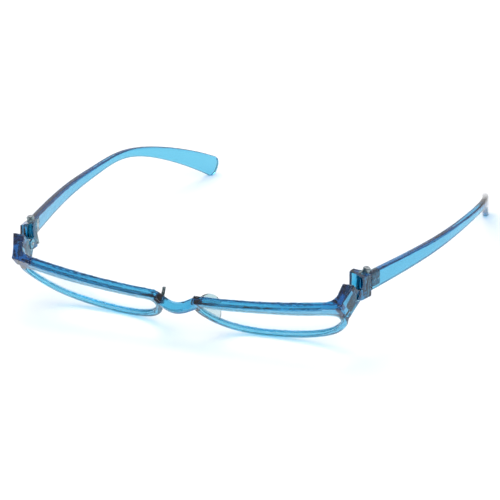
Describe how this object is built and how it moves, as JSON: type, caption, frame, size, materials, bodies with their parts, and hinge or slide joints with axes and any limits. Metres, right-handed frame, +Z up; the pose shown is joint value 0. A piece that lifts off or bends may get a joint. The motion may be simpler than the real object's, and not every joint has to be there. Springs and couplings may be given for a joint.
{
  "type": "folding reading glasses",
  "caption": "Half-height reading glasses: clear lenses in a moulded transparent front that tilts against two slim folding arms with paddle tips.",
  "frame": {"origin": "on the surface the glasses stand on, midway across and midway front to back", "axes": "+X to the right of a viewer who faces the lenses from the front, +Y from the lenses back to the arm tips, +Z up; the object is symmetric about X = 0"},
  "size_m": [0.153, 0.1584, 0.0319],
  "materials": {
    "frame_plastic": "polished transparent blue moulded plastic",
    "pad_plastic": "polished transparent smoke-blue plastic",
    "lens": "clear polished optical plastic",
    "leaf_steel": "fine brushed stainless steel",
    "screw_steel": "bright turned stainless steel",
    "washer": "natural nylon"
  },
  "bodies": {
    "front": {"front_frame": "frame_plastic", "left_lens": "lens", "left_nose_pad": "pad_plastic", "left_tilt_leaf": "leaf_steel", "left_tilt_leaf_pin": "screw_steel", "right_lens": "lens", "right_nose_pad": "pad_plastic", "right_tilt_leaf": "leaf_steel", "right_tilt_leaf_pin": "screw_steel"},
    "left_link": {"left_link_block": "frame_plastic", "left_tilt_pin": "screw_steel", "left_tilt_washer": "washer", "left_link_leaf": "leaf_steel", "left_link_rivets": "screw_steel", "left_fold_screw": "screw_steel"},
    "right_link": {"right_link_block": "frame_plastic", "right_tilt_pin": "screw_steel", "right_tilt_washer": "washer", "right_link_leaf": "leaf_steel", "right_link_rivets": "screw_steel", "right_fold_screw": "screw_steel"},
    "left_temple": {"left_temple": "frame_plastic", "left_temple_leaf": "leaf_steel", "left_temple_rivets": "screw_steel"},
    "right_temple": {"right_temple": "frame_plastic", "right_temple_leaf": "leaf_steel", "right_temple_rivets": "screw_steel"}
  },
  "joints": [
    {"name": "left_front_tilt", "type": "hinge", "parent": "front", "child": "left_link", "pos_m": [-0.06515, -0.06424, 0.02394], "axis": [1, 0, 0], "range_deg": [0, 48]},
    {"name": "right_front_tilt", "type": "hinge", "parent": "front", "child": "right_link", "pos_m": [0.06515, -0.06424, 0.02394], "axis": [1, 0, 0], "range_deg": [0, 48]},
    {"name": "left_temple_fold", "type": "hinge", "parent": "left_link", "child": "left_temple", "pos_m": [-0.0666, -0.0579, 0.02646], "axis": [0.2079, -0.053, -0.9767], "range_deg": [0, 88]},
    {"name": "right_temple_fold", "type": "hinge", "parent": "right_link", "child": "right_temple", "pos_m": [0.0666, -0.0579, 0.02646], "axis": [0.2079, 0.053, 0.9767], "range_deg": [0, 93]}
  ],
  "couplings": [
    {"joint": "right_front_tilt", "follows": "left_front_tilt", "ratio": 1}
  ]
}
